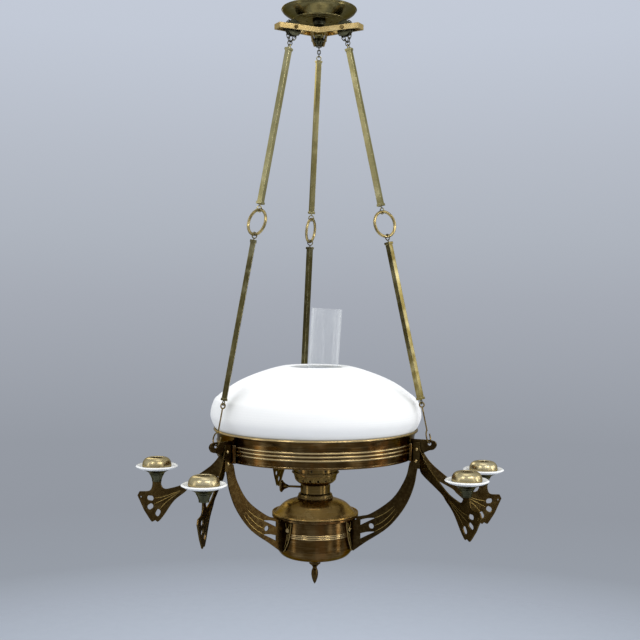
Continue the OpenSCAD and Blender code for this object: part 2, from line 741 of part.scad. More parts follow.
module candle_cap(k) {
  top = cap_z + dome_h;
  mouth_r = candle_d / 2;
  flank = curve([
    [dome_r, cap_z + dome_h * 0.16], [dome_r * 0.98, cap_z + dome_h * 0.44],
    [dome_r * 0.89, cap_z + dome_h * 0.74], [dome_r * 0.74, cap_z + dome_h * 0.93],
    [dome_r * 0.58, top]
  ]);
  foot = top - candle_depth - bore_floor;
  color(gold) at_candle(k) rotate_extrude() polygon(concat(
    [[0, foot], [nozzle_r, foot], [nozzle_r, cap_z], [vase_r, cap_z], [dome_r - 0.6, cap_z + 1]], flank,
    [[mouth_r + 1, top], [mouth_r, top - 0.6], [mouth_r, foot + bore_floor], [0, foot + bore_floor]]
  ));
}

module font_holder() {
  rim = -holder_drop;
  belly = foot_z + 15;
  turn_in = curve([
    [holder_r, belly], [holder_r - 2, belly - 6.5], [holder_r - 7.5, belly - 12], [foot_r, foot_z]
  ]);
  inside = backward(beside(concat([[holder_r, rim - rim_h]], turn_in, [[0, foot_z]]), -sheet_t));
  beads = [for (i = [1, 0, -1], a = [75:-30:-75])
    [holder_r + 0.7 * cos(a), rim - holder_h * 0.385 + i * 2.2 + 0.7 * sin(a)]];
  color(brass) on_frame() rotate_extrude() polygon(concat(
    [[holder_r - sheet_t, rim], [rim_r - 0.6, rim], [rim_r, rim - 0.8], [rim_r, rim - rim_h + 1],
      [rim_r - 1.2, rim - rim_h], [holder_r, rim - rim_h]],
    beads, turn_in, [[0, foot_z]], inside
  ));
}

// Pointed shields between the brackets and the holder's wall
module holder_shields() {
  w = shield_w / 2;
  side = curve([
    [w, -2], [w * 0.93, -shield_h * 0.25], [w * 0.7, -shield_h * 0.62],
    [w * 0.25, -shield_h * 0.92], [0, -shield_h]
  ]);
  outline = concat([[-w + 2, 0], [w - 2, 0]], side, backward([for (p = side) [-p[0], p[1]]]));
  color(brass) on_frame() for (b = bearings) at_bearing(b) intersection() {
    translate([0, 0, shield_z]) rotate([90, 0, 90]) linear_extrude(2 * holder_r) polygon(outline);
    translate([0, 0, shield_z - shield_h - 1]) difference() {
      cylinder(r = shield_r + shield_t, h = shield_h + 2);
      translate([0, 0, -1]) cylinder(r = shield_r, h = shield_h + 4);
    }
  }
}

module finial() {
  top = foot_z - lie_gap;
  bead = finial_l * 0.26;
  flank = concat(
    [[8.7, 0], [8.7, -bead * 0.5]],
    curve([[7.6, -bead], [3.6, -finial_l * 0.36], [2.9, -finial_l * 0.43], [4.2, -finial_l * 0.52],
      [4.5, -finial_l * 0.68], [2.6, -finial_l * 0.88], [0, -finial_l]])
  );
  color(brass) on_frame() translate([0, 0, top]) rotate_extrude() polygon(concat([[0, 0]], flank));
}

module font() {
  neck_r = collar_r - 5.3;
  body_r = holder_r - sheet_t - 0.6;
  base = rim_z - font_depth;
  brim_t = 2;
  rise = neck_z - rim_z;
  dome_path = curve([
    [rim_r - 4.4, rim_z + brim_t], [rim_r - 8.6, rim_z + rise * 0.34], [rim_r - 16.3, rim_z + rise * 0.7],
    [rim_r - 26.5, rim_z + rise * 0.92], [collar_r + 1, neck_z]
  ]);
  shell = concat(
    [[0, base], [body_r - 3, base], [body_r, base + 3], [body_r, rim_z], [rim_r - 0.6, rim_z]],
    [[rim_r, rim_z + 0.6], [rim_r, rim_z + brim_t - 0.6], [rim_r - 0.6, rim_z + brim_t]],
    dome_path, [[neck_r, neck_z]]
  );
  hollow = concat(
    [[neck_r, neck_z - sheet_t]],
    [for (p = backward(dome_path)) if (p[0] < body_r - 1.5 * sheet_t) p - [0, 1.4 * sheet_t]],
    [[body_r - sheet_t, rim_z + brim_t], [body_r - sheet_t, base + 3 + sheet_t]],
    [[body_r - 3 - sheet_t, base + sheet_t], [0, base + sheet_t]]
  );
  color(brass) on_frame() rotate_extrude() polygon(concat(shell, hollow));
}

module burner_collar() {
  neck_r = collar_r - 5.6;
  bore = tube_r + 1;
  color(brass) on_frame() rotate_extrude() {
    polygon([
      [bore, collar_z - 6], [neck_r, collar_z - 6], [neck_r, collar_z], [collar_r - 0.6, collar_z],
      [collar_r, collar_z + 0.6], [collar_r, collar_z + collar_h - 1.4],
      [collar_r - 1.4, collar_z + collar_h], [bore, collar_z + collar_h]
    ]);
    translate([collar_r - 0.3, collar_z + collar_h * 0.3]) circle(r = 1);
  }
}

module burner_body() {
  wick_r = tube_r - 0.8;
  tube_top = gallery_z + gallery_h + 9.5;
  color(brass) on_frame() difference() {
    rotate_extrude() polygon([
      [wick_r, burner_z], [burner_r - 1, burner_z], [burner_r, burner_z + 1],
      [burner_r, burner_z + burner_h],
      [burner_r - 7, burner_z + burner_h], [burner_r - 7, burner_z + burner_h - sheet_t],
      [burner_r - sheet_t, burner_z + burner_h - sheet_t], [burner_r - sheet_t, burner_z + sheet_t],
      [tube_r, burner_z + sheet_t], [tube_r, tube_top], [wick_r, tube_top]
    ]);
    at_bearing(knob_bearing) translate([tube_r + 2, 0, spindle_z]) rotate([0, 90, 0])
      cylinder(d = spindle_d + 2 * run_gap, h = 2 * burner_r);
  }
}

module gallery() {
  lip_top = gallery_z + gallery_h;
  shelf_t = 1;
  bowl = concat(
    [[tube_r + 2.6, gallery_z], [burner_r, gallery_z]],
    curve([
      [burner_r + 1, gallery_z + 1.2], [gallery_r - 7, gallery_z + gallery_h * 0.2],
      [gallery_r - 4.8, gallery_z + gallery_h * 0.36], [gallery_r - 3.5, gallery_z + gallery_h * 0.64],
      [gallery_r - 1.6, lip_top - 1.6], [gallery_r, lip_top - 0.6]
    ])
  );
  color(brass) on_frame() difference() {
    rotate_extrude() {
      polygon(wall(bowl, 1));
      translate([gallery_r - 0.6, lip_top - 0.9]) circle(r = 0.9);
      translate([burner_r + 0.6, shelf_z - shelf_t]) square([gallery_r - 3.4 - burner_r, shelf_t]);
      translate([crown_r - 0.8, shelf_z - shelf_t]) square([0.8, lip_top - shelf_z + shelf_t + crown_h]);
    }
    for (a = [0:36:324]) rotate([0, 0, a])
      translate([crown_r - 2, -1.2, lip_top + 2]) cube([4, 2.4, crown_h]);
    for (a = [0:22.5:337.5]) rotate([0, 0, a]) translate([burner_r, 0, gallery_z + gallery_h * 0.42])
      rotate([0, 90, 0]) cylinder(r = 1.5, h = 10);
  }
}

module wick_knob() {
  flare = curve([
    [spindle_d / 2, -11.5], [spindle_d / 2 + 1.2, -9], [knob_r * 0.5, -6.2],
    [knob_r * 0.8, -3.6], [knob_r, -2.4]
  ]);
  pinion_l = 1.6;
  inner = tube_r + 2.2;
  color(gold) on_frame() at_bearing(knob_bearing) translate([0, 0, spindle_z]) rotate([0, 90, 0]) {
    translate([0, 0, inner]) cylinder(d = spindle_d, h = knob_reach - 8 - inner);
    translate([0, 0, inner]) cylinder(r = 3, h = pinion_l);
    translate([0, 0, knob_reach]) rotate_extrude() polygon(concat(
      [[0, -11.5]], flare, [[knob_r, -0.8], [knob_r - 0.8, 0], [0, 0]]
    ));
  }
}

module wick() {
  out_r = tube_r - 0.8 - seat_gap;
  top = gallery_z + gallery_h + 12.5;
  foot = rim_z - font_depth * 0.3;
  color(cotton) on_frame() translate([0, 0, foot]) difference() {
    cylinder(r = out_r, h = top - foot);
    translate([0, 0, -1]) cylinder(r = out_r - 1.4, h = top - foot + 2);
  }
}

module chimney() {
  path = concat(
    [[foot_glass_r, 0]],
    curve([[foot_glass_r, 21], [foot_glass_r - 1.2, 27.5], [chimney_r + 1, 35], [chimney_r, 43]]),
    [[chimney_r, chimney_h]]
  );
  color(glass) on_frame() at_bearing(lean_bearing) translate([chimney_shift, 0, chimney_z])
    rotate([0, chimney_lean, 0]) rotate_extrude() polygon(wall(path, chimney_t));
}

module shade() {
  seat = -ledge_drop + seat_gap;
  seat_r = ring_r - sheet_t - 2 * seat_gap;
  belly = shade_r - seat_r;
  span = shade_r - shade_hole_r;
  outer = curve([
    [seat_r, seat], [seat_r + belly * 0.76, shade_h * 0.1], [shade_r, shade_h * 0.24],
    [shade_r - span * 0.036, shade_h * 0.43], [shade_r - span * 0.103, shade_h * 0.53],
    [shade_r - span * 0.334, shade_h * 0.74], [shade_r - span * 0.62, shade_h * 0.9],
    [shade_r - span * 0.89, shade_h], [shade_hole_r, shade_h * 0.99]
  ]);
  color(opal) on_frame() rotate_extrude($fn = 96) polygon(wall(outer, shade_t));
}

suspension_eye();
canopy();
canopy_spacer();
spreader_frame();
pulley_pins();
for (k = [0:2]) {
  pulley_wheel(k);
  chain_loop(k);
  upper_rod(k);
  link_ring(k);
  lower_rod(k);
  lug_hook(k);
  bracket(k);
}
shade_ring();
ring_clasps();
rivets();
for (k = [0:5]) {
  candle_plate(k);
  drip_pan(k);
  candle_cap(k);
}
candle_vases();
font_holder();
holder_shields();
finial();
font();
burner_collar();
burner_body();
gallery();
wick_knob();
wick();
chimney();
shade();
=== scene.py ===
"""Looks of a hanging brass oil lamp: materials, chased lines, milling, light, floor and camera."""
import math

import bpy
from mathutils import Matrix, Vector


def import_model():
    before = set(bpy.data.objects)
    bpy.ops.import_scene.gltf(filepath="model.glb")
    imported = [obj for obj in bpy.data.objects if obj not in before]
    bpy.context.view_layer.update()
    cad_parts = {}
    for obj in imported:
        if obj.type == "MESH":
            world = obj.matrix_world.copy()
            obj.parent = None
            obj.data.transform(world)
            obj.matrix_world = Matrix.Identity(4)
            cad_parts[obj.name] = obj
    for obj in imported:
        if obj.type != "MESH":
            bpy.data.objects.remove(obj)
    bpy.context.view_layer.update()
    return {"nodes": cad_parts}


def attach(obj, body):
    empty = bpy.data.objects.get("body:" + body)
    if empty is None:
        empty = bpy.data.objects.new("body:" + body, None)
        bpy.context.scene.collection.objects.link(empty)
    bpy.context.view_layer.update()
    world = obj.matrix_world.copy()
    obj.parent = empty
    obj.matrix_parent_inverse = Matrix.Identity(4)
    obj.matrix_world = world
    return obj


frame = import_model()
nodes = frame["nodes"]
MM = 0.001

# Brackets and candle plates of the CAD model: bearings and bends in degrees, lengths in millimetres
BEARINGS = (-60, 60, 180)
PLATE_BEND = ((59, 43), (37, 45), (27, 15))
PLATE_SAG = ((0, 0), (1, 8), (0, 6))
BEND_R = 146.0
FLANGE_Y = 1.92
CANDLE_REACH = 94.7
SAG_REACH = 0.8 * CANDLE_REACH
NECK_DROP = 64.5
BRACKET_T = 2.2
PLATE_T = 1.6
WEB_R = 53.02

# Ring, holder and font of the CAD model, in millimetres: heights count from the lip of the ring
LIP_Z = -584.345
RING_R = 131.8
HOLDER_R = 51.0
SHIELD_Z = -119.5
SHIELD_R = 53.0
SHIELD_W = 30.0
SHIELD_H = 42.0
BRIM_Z = -113.5
BRIM_R = 56.9

# Burner of the CAD model, in millimetres and degrees, with heights from the same lip
COLLAR_Z = -95.78
COLLAR_R = 22.8
COLLAR_H = 7.5
GALLERY_Z = -76.34
BURNER_R = 20.0
SPINDLE_Z = -81.12
KNOB_BEARING = -108
KNOB_REACH = 48.0
KNOB_R = 8.0

# Outer side of the gallery's bowl: height above its foot, and radius
BOWL = ((1.2, BURNER_R + 1), (3.48, 24.6), (6.26, 26.8), (11.14, 28.1), (15.8, 30.0), (16.8, 31.6))

# Beads and lip with a painted highlight: least radius, lowest and highest z
RING_BEAD_HIGHLIGHT = (RING_R + 0.5, LIP_Z - 26.5, LIP_Z - 13.5)
RING_LIP_HIGHLIGHT = (RING_R + 0.5, LIP_Z - 1.5, LIP_Z + 1.5)
HOLDER_BEAD_HIGHLIGHT = (HOLDER_R + 0.35, LIP_Z - 141.5, LIP_Z - 134)


# Node helpers
class Tree:
    """Builds a node tree with short calls."""

    def __init__(self, tree):
        self.tree = tree
        tree.nodes.clear()

    def add(self, kind, inputs=None, **settings):
        node = self.tree.nodes.new("ShaderNode" + kind)
        for key, value in settings.items():
            setattr(node, key, value)
        for key, value in (inputs or {}).items():
            self.put(node.inputs[key], value)
        return node

    def put(self, socket, value):
        if isinstance(value, bpy.types.NodeSocket):
            self.tree.links.new(value, socket)
        else:
            socket.default_value = value

    def math(self, operation, a, b=0.0, clamp=False):
        return self.add("Math", {0: a, 1: b}, operation=operation, use_clamp=clamp).outputs[0]

    def mix(self, fac, a, b):
        return self.add("Mix", {0: fac, 6: a, 7: b}, data_type="RGBA").outputs[2]

    def tint(self, colour, other, mask, share):
        """Colour with a share of another one where the mask is 1."""
        return self.mix(self.math("MULTIPLY", mask, share), colour, other)

    def noise(self, vector, scale, detail=3.0, rough=0.55, distort=0.0):
        return self.add("TexNoise", {
            "Vector": vector, "Scale": scale, "Detail": detail, "Roughness": rough, "Distortion": distort,
        }).outputs[0]

    def span(self, value, lo, hi, to_lo=0.0, to_hi=1.0):
        return self.add("MapRange", {0: value, 1: lo, 2: hi, 3: to_lo, 4: to_hi}).outputs[0]

    def stretched(self, vector, scale):
        return self.add("Mapping", {"Vector": vector, "Scale": scale}).outputs[0]

    def shut_in(self, reach):
        """1 in the open, less in corners; reach in metres."""
        return self.add("AmbientOcclusion", {"Distance": reach}, samples=6).outputs["AO"]


def rgb(hex_code):
    """Linear colour of an sRGB hex code."""
    parts = [int(hex_code[i:i + 2], 16) / 255 for i in (0, 2, 4)]
    return [c / 12.92 if c <= 0.04045 else ((c + 0.055) / 1.055) ** 2.4 for c in parts] + [1.0]


def material(name):
    made = bpy.data.materials.new(name)
    made.use_nodes = True
    t = Tree(made.node_tree)
    shader = t.add("BsdfPrincipled")
    out = t.add("OutputMaterial")
    t.tree.links.new(shader.outputs[0], out.inputs[0])
    return made, t, shader


# Brass: stretch of its turned, drawn or rolled lines and of its upright bands of painted reflection, per
# metre
ROUND = (40.0, 40.0, 900.0)
LONG = (900.0, 900.0, 12.0)
FLAT = (260.0, 260.0, 260.0)
UPRIGHT = (38.0, 38.0, 2.0)
# Noise scales of its specks, rubbed places and dents, per metre
SPECK_SCALE = 900.0
RUB_SCALE = 70.0
DENT_SCALE = 45.0
# How far grime and painted shade reach out of a corner, and the height of a dent, in metres
GRIME_AND_SHADE_REACH = 0.009
DENT_HEIGHT = 0.001
# Reflection of the metal at a grazing angle
EDGE_TINT = (0.5, 0.45, 0.36, 1.0)


def brass(name, tones, rough, lines, blotch=26.0, wear=0.75, pits=0.12, dent=0.02,
          haze=0.35, reflection_runs=0.0, edge_r=0.7, highlight_bands=()):
    """Aged brass: soft tarnish, faint stains, drawn or turned lines, grime and painted shade in corners,
    bare edges.

    The tones are hex codes: dark, body, bright and stain. Edges are rounded by edge_r millimetres.
    Each highlight band is a radius about the lamp's axis with a lowest and a highest z, in millimetres:
    what stands out further than that radius between those heights gets a painted highlight.
    """
    made, t, shader = material(name)
    dark, body, bright, stain = [rgb(code) for code in tones]
    where = t.add("TexCoord").outputs["Object"]
    patches = t.noise(where, blotch, 4.0, 0.5, 0.3)
    colour = t.mix(t.span(patches, 0.25, 0.75), dark, body)
    clouds = t.noise(where, blotch * 2.7, 3.0, 0.5, 0.2)
    colour = t.tint(colour, bright, t.span(clouds, 0.5, 0.78), haze)
    stains = t.noise(where, blotch * 1.3, 6.0, 0.7, 1.2)
    colour = t.tint(colour, stain, t.span(stains, 0.58, 0.74), 0.35)
    # Upright light and dark bands of painted reflection
    if reflection_runs:
        reflection_run = t.noise(t.stretched(where, UPRIGHT), 1.0, 3.0, 0.55)
        colour = t.tint(colour, stain, t.span(reflection_run, 0.5, 0.66), reflection_runs)
        colour = t.tint(colour, dark, t.span(reflection_run, 0.48, 0.34), reflection_runs)
    specks = t.noise(where, SPECK_SCALE, 2.0, 0.6)
    colour = t.tint(colour, dark, t.span(specks, 0.66, 0.78), pits)
    drawn = t.noise(t.stretched(where, lines), 1.0, 3.0, 0.6)
    colour = t.tint(colour, bright, t.span(drawn, 0.45, 0.75), 0.12)
    # Darker where the surface is shut in: grime and painted shade in corners
    colour = t.mix(t.span(t.shut_in(GRIME_AND_SHADE_REACH), 0.25, 0.85, 0.7, 0.0), colour, dark)
    soft = t.add("Bevel", {"Radius": edge_r * MM}, samples=4).outputs[0]
    flat = t.add("NewGeometry").outputs["Normal"]
    turned = t.add("VectorMath", {0: soft, 1: flat}, operation="DOT_PRODUCT").outputs["Value"]
    rubbed = t.span(t.noise(where, RUB_SCALE, 4.0, 0.6), 0.3, 0.6)
    colour = t.tint(colour, bright, t.math("MULTIPLY", t.span(turned, 0.985, 0.86), rubbed), wear)
    # Painted highlights on the beads and the lip
    for band in highlight_bands:
        colour = t.tint(colour, bright, highlight_band_mask(t, where, *band), 0.8)
    t.put(shader.inputs["Base Color"], colour)
    shader.inputs["Metallic"].default_value = 1.0
    shader.inputs["Specular Tint"].default_value = EDGE_TINT
    uneven = t.math("ADD", t.math("MULTIPLY", clouds, 0.7), t.math("MULTIPLY", drawn, 0.3))
    t.put(shader.inputs["Roughness"], t.span(uneven, 0.3, 0.7, rough[0], rough[1]))
    relief = t.math("ADD", t.math("MULTIPLY", drawn, 0.12), t.noise(where, DENT_SCALE, 2.0, 0.5))
    bump = t.add("Bump", {"Height": relief, "Normal": soft, "Distance": DENT_HEIGHT, "Strength": dent})
    t.put(shader.inputs["Normal"], bump.outputs[0])
    return made


def highlight_band_mask(t, where, radius, low, high):
    """Mask of the painted highlight on what stands out further than a radius between two heights, in
    millimetres.
    """
    x, y, z = t.add("SeparateXYZ", {0: where}).outputs
    from_axis = t.math("SQRT", t.math("ADD", t.math("MULTIPLY", x, x), t.math("MULTIPLY", y, y)))
    proud = t.span(from_axis, (radius - 0.15) * MM, (radius + 0.25) * MM)
    inside = t.math("MULTIPLY", t.math("GREATER_THAN", z, low * MM), t.math("LESS_THAN", z, high * MM))
    return t.math("MULTIPLY", proud, inside)


# Opal glass: how far shade reaches out of a corner, in metres, and its colour
OPAL_SHADE_REACH = 0.03
OPAL_SHADE = "a6a8a0"


def opal(name, white, shadow, rough, depth):
    """Milk glass: a little depth and faint clouds under a smooth surface, darker in corners."""
    made, t, shader = material(name)
    where = t.add("TexCoord").outputs["Object"]
    clouds = t.noise(where, 14.0, 3.0, 0.5, 0.5)
    colour = t.mix(t.span(clouds, 0.35, 0.75), rgb(white), rgb(shadow))
    corner = t.span(t.shut_in(OPAL_SHADE_REACH), 0.4, 0.95, 0.85, 0.0)
    t.put(shader.inputs["Base Color"], t.mix(corner, colour, rgb(OPAL_SHADE)))
    t.put(shader.inputs["Roughness"], t.span(t.noise(where, 60.0, 3.0), 0.3, 0.7, rough[0], rough[1]))
    shader.inputs["Subsurface Weight"].default_value = depth
    shader.inputs["Subsurface Radius"].default_value = (1.0, 1.0, 1.0)
    shader.inputs["Subsurface Scale"].default_value = 0.004
    shader.inputs["IOR"].default_value = 1.3
    return made


def clear_glass(name):
    """Thin clear glass: nearly open where it faces the eye, with painted reflection white at its edges
    and in faint upright lines.
    """
    made, t, shader = material(name)
    where = t.add("TexCoord").outputs["Object"]
    dust = t.noise(where, 30.0, 4.0, 0.6)
    # Painted reflection: whiter where the glass turns from the eye, and in faint upright lines
    reflection_streaks = t.noise(t.stretched(where, (150.0, 150.0, 5.0)), 1.0, 2.0, 0.5)
    edge = t.add("LayerWeight", {"Blend": 0.42}).outputs["Facing"]
    reflection_veil = t.span(t.math("POWER", edge, 2.4), 0.0, 1.0, 0.045, 0.62)
    reflection_veil = t.math("ADD", reflection_veil, t.span(reflection_streaks, 0.56, 0.72, 0.0, 0.16))
    t.put(shader.inputs["Alpha"], t.math("ADD", reflection_veil, t.span(dust, 0.5, 0.8, 0.0, 0.05), clamp=True))
    shader.inputs["Base Color"].default_value = rgb("f4f7f9")
    shader.inputs["Roughness"].default_value = 0.04
    shader.inputs["IOR"].default_value = 1.5
    return made


def cotton(name):
    """Woven wick, browned in places."""
    made, t, shader = material(name)
    where = t.add("TexCoord").outputs["Object"]
    rows = {"Vector": where, "Scale": 900.0, "Distortion": 1.5}
    weave = t.add("TexWave", rows, bands_direction="Z").outputs[0]
    browned = t.span(t.noise(where, 160.0, 3.0), 0.5, 0.8)
    colour = t.mix(weave, rgb("b9a67c"), rgb("e6dcc2"))
    t.put(shader.inputs["Base Color"], t.mix(browned, colour, rgb("6d5b3c")))
    shader.inputs["Roughness"].default_value = 0.95
    bump = t.add("Bump", {"Height": weave, "Distance": 0.001, "Strength": 0.4})
    t.put(shader.inputs["Normal"], bump.outputs[0])
    return made


# Materials: the tones are dark, body, bright and stain
SPUN = dict(rough=(0.16, 0.22), lines=ROUND, blotch=20.0, haze=0.12)
AGED = dict(tones=("38260f", "5f441e", "e0c48c", "7d4d20"), reflection_runs=0.55, **SPUN)
PLATE = dict(rough=(0.2, 0.3), lines=FLAT, blotch=30.0, wear=0.9, pits=0.05, haze=0.12)

aged_spun = brass("aged_brass_spun", **AGED)
burner_brass = brass("burner_brass", ("4c3a1a", "806636", "e0c48c", "7d4d20"), reflection_runs=0.35, **SPUN)
ring_brass = brass("ring_brass", highlight_bands=(RING_BEAD_HIGHLIGHT, RING_LIP_HIGHLIGHT), **AGED)
holder_brass = brass("holder_brass", highlight_bands=(HOLDER_BEAD_HIGHLIGHT,), **AGED)
satin_brass = brass(
    "satin_brass", ("866835", "be9854", "e6cf9a", "94652f"),
    rough=(0.22, 0.3), lines=ROUND, blotch=20.0, wear=0.6, haze=0.15, reflection_runs=0.2)
aged_flat = brass("aged_brass_plate", ("2e210f", "513e1e", "a18a56", "5a3416"), **PLATE)
bracket_brass = brass("bracket_brass", ("281c0c", "463419", "a18a56", "50300f"), **PLATE)
aged_wire = brass(
    "aged_brass_wire", ("5a4826", "8a7341", "cdb780", "6b4a24"),
    rough=(0.2, 0.35), lines=FLAT, blotch=60.0, wear=0.4, edge_r=0.15)
canopy_brass = brass(
    "canopy_brass", ("585235", "877a4e", "c2b078", "5c4f34"), rough=(0.16, 0.28), lines=ROUND, wear=0.8)
rod_brass = brass(
    "pale_rod_brass", ("847a4c", "b9ad78", "e9e0b2", "7d6840"),
    rough=(0.12, 0.25), lines=LONG, blotch=14.0, wear=0.8)
# Darker copy of the rod brass: painted shade on the lower rods
shaded_rod_brass = brass(
    "shaded_lower_rod_brass", ("382f16", "7d703f", "e6dba8", "523f22"),
    rough=(0.1, 0.22), lines=LONG, blotch=18.0, wear=0.8)
gold_brass = brass(
    "gold_strip_brass", ("b89a5c", "dcc082", "f4e6b8", "a9844e"),
    rough=(0.22, 0.34), lines=FLAT, blotch=24.0, wear=0.35)
cap_brass = brass(
    "cap_brass", ("b09d70", "cdbd90", "f3e9c8", "a89164"),
    rough=(0.25, 0.29), lines=ROUND, blotch=18.0, wear=0.15, pits=0.0, dent=0.004)
link_brass = brass(
    "link_ring_brass", ("8c7a4a", "bda871", "f0e4ba", "8a7044"),
    rough=(0.14, 0.2), lines=FLAT, blotch=30.0, wear=0.0, pits=0.0, dent=0.004, haze=0.12, edge_r=0.1)
dark_bronze = brass(
    "dark_bronze", ("2f2f24", "55543e", "98967a", "40372a"),
    rough=(0.2, 0.36), lines=ROUND, blotch=50.0, wear=0.7)
chain_metal = brass(
    "chain_metal", ("3a372b", "66624b", "b0aa8b", "4a3822"),
    rough=(0.22, 0.4), lines=FLAT, blotch=120.0, wear=0.5, edge_r=0.15)
line_brass = brass(
    "chased_line_brass", ("77602f", "a88d50", "d4bc82", "77592d"),
    rough=(0.22, 0.36), lines=FLAT, blotch=60.0, wear=0.3, pits=0.0, haze=0.15)
shade_glass = opal("opal_shade", "fbfbfa", "f8f9f8", rough=(0.46, 0.54), depth=0.25)
pan_glass = opal("opal_pan", "f8f8f6", "f1f1ed", rough=(0.2, 0.3), depth=0.0)
chimney_glass = clear_glass("clear_chimney")
wick_cotton = cotton("wick_cotton")

# Material of each kind of CAD node: numbered nodes share one
LOOKS = {
    "suspension_eye": rod_brass, "canopy": canopy_brass, "canopy_spacer": dark_bronze,
    "spreader_frame": gold_brass, "pulley_pins": aged_wire, "pulley_wheel": dark_bronze,
    "chain_loop": chain_metal, "upper_rod": rod_brass, "link_ring": link_brass,
    "lower_rod": shaded_rod_brass, "lug_hook": aged_wire, "shade_ring": ring_brass,
    "ring_clasps": aged_spun, "rivets": gold_brass, "bracket": bracket_brass,
    "candle_plate": aged_flat, "candle_vases": dark_bronze, "drip_pan": pan_glass,
    "candle_cap": cap_brass, "font_holder": holder_brass, "holder_shields": burner_brass,
    "finial": aged_flat, "font": satin_brass, "burner_collar": burner_brass,
    "burner_body": burner_brass, "gallery": burner_brass, "wick_knob": burner_brass,
    "wick": wick_cotton, "chimney": chimney_glass, "shade": shade_glass,
}
for name, node in nodes.items():
    kind = name.rstrip("0123456789").rstrip("_")
    node.data.materials.clear()
    node.data.materials.append(LOOKS[kind])


# Mesh helpers: all take millimetres in the CAD frame
def turn_angles(count):
    """Evenly spaced angles of a full turn."""
    return [2 * math.pi * i / count for i in range(count)]


class Shape:
    """Collects the faces of one added piece."""

    # Section across an engraved line with its two burrs, and how deep its foot is sunk
    LINE_SECTION = ((-0.42, 0.0), (-0.22, 0.13), (0.0, 0.02), (0.22, 0.13), (0.42, 0.0))
    LINE_SUNK = 0.02
    # Width of a line at its ends, and how fast it widens
    LINE_END = 0.35
    LINE_FLARE = 4

    def __init__(self):
        self.verts = []
        self.faces = []

    def loft(self, rows, ringed, closed=False):
        """Joins rows of points: ringed rows close on themselves, a closed run joins its two ends."""
        first = len(self.verts)
        count = len(rows)
        n = len(rows[0])
        for row in rows:
            self.verts.extend(row)
        for i in range(count if closed else count - 1):
            a = first + i * n
            b = first + (i + 1) % count * n
            for j in range(n if ringed else n - 1):
                k = (j + 1) % n
                self.faces.append((a + j, a + k, b + k, b + j))

    def chased(self, path, place, face_y, sag=0.0):
        """Adds an engraved line along a path in a plate's x and z, on both faces of the plate."""
        last = len(path) - 1
        for side in (-1, 1):
            rows = []
            for i, p in enumerate(path):
                along = (path[min(i + 1, last)] - path[max(i - 1, 0)]).normalized()
                across = Vector((-along[1], along[0]))
                taper = min(1.0, self.LINE_END + self.LINE_FLARE * min(i, last - i) / len(path))
                row = []
                for u, h in self.LINE_SECTION:
                    q = p + across * u * taper
                    y = side * (face_y + h * taper - self.LINE_SUNK)
                    row.append(place @ Vector((q[0], y, q[1] - sag * min(1.0, q[0] / SAG_REACH))))
                rows.append(row)
            self.loft(rows, ringed=False)

    def tube(self, path, radius, sides=6, closed=False):
        """Adds a thin round bar along a 3-D path."""
        count = len(path)
        rows = []
        for i, p in enumerate(path):
            ahead = path[(i + 1) % count] if closed else path[min(i + 1, count - 1)]
            behind = path[i - 1] if closed or i else path[0]
            along = (ahead - behind).normalized()
            out = Vector((p[0], p[1], 0)).normalized()
            out = (out - along * out.dot(along)).normalized()
            third = along.cross(out)
            spokes = [math.cos(a) * out + math.sin(a) * third for a in turn_angles(sides)]
            rows.append([p + radius * spoke for spoke in spokes])
        self.loft(rows, ringed=True, closed=closed)

    def piece(self, name, look, body):
        mesh = bpy.data.meshes.new(name)
        mesh.from_pydata([Vector(v) * MM for v in self.verts], [], self.faces)
        mesh.materials.append(look)
        for face in mesh.polygons:
            face.use_smooth = True
        made = bpy.data.objects.new(name, mesh)
        bpy.context.scene.collection.objects.link(made)
        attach(made, body)


def bearing_angle(bearing):
    """Angle about the lamp's axis, in radians, of a bearing counted from the front in degrees."""
    return math.radians(bearing - 90)


def at_bearing(bearing):
    """Place on the lamp's axis with x along a bearing."""
    return Matrix.Rotation(bearing_angle(bearing), 4, "Z")


def on_plate(k):
    """Place of candle plate k: its bend at the bracket, with x along the plate."""
    arm = k // 2
    side = -1 if k % 2 == 0 else 1
    turn = Matrix.Rotation(math.radians(side * PLATE_BEND[arm][k % 2]), 4, "Z")
    return at_bearing(BEARINGS[arm]) @ Matrix.Translation((BEND_R, side * FLANGE_Y, LIP_Z)) @ turn


def around(r, angle, z):
    """Point at a radius and an angle about the lamp's axis, with its height from the lip."""
    return Vector((r * math.cos(angle), r * math.sin(angle), LIP_Z + z))


def smooth_path(points, steps=6):
    """Catmull-Rom curve through 2-D or 3-D points."""
    p = [Vector(q) for q in points]
    p = [2 * p[0] - p[1]] + p + [2 * p[-1] - p[-2]]
    out = []
    for i in range(1, len(p) - 2):
        a, b, c, d = p[i - 1:i + 3]
        for j in range(steps):
            s = j / steps
            out.append(0.5 * (2 * b + (c - a) * s + (2 * a - 5 * b + 4 * c - d) * s ** 2
                              + (3 * b - a - 3 * c + d) * s ** 3))
    return out + [p[-2]]


# Chased lines that fan from the piercings of the brackets: radius, and height from the shield's top
SLOT_TIP = WEB_R + 31.3
MIDDLE_TIP = WEB_R + 30.8
BRACKET_LINES = (
    ((SLOT_TIP, 4.6), (93, 8.6), (102, 14.5), (111, 22.5)),
    ((MIDDLE_TIP, -6.0), (94, -0.4), (104, 8.5), (113.5, 19.5)),
    ((SLOT_TIP, -13.5), (95, -7.0), (106, 2.5), (116, 15.5)),
)


def bracket_lines():
    for k, bearing in enumerate(BEARINGS):
        shape = Shape()
        place = at_bearing(bearing) @ Matrix.Translation((0, 0, LIP_Z))
        for line in BRACKET_LINES:
            shape.chased(smooth_path([(r, SHIELD_Z + z) for r, z in line]), place, BRACKET_T / 2)
        shape.piece(f"bracket_lines_{k + 1}", line_brass, "frame")


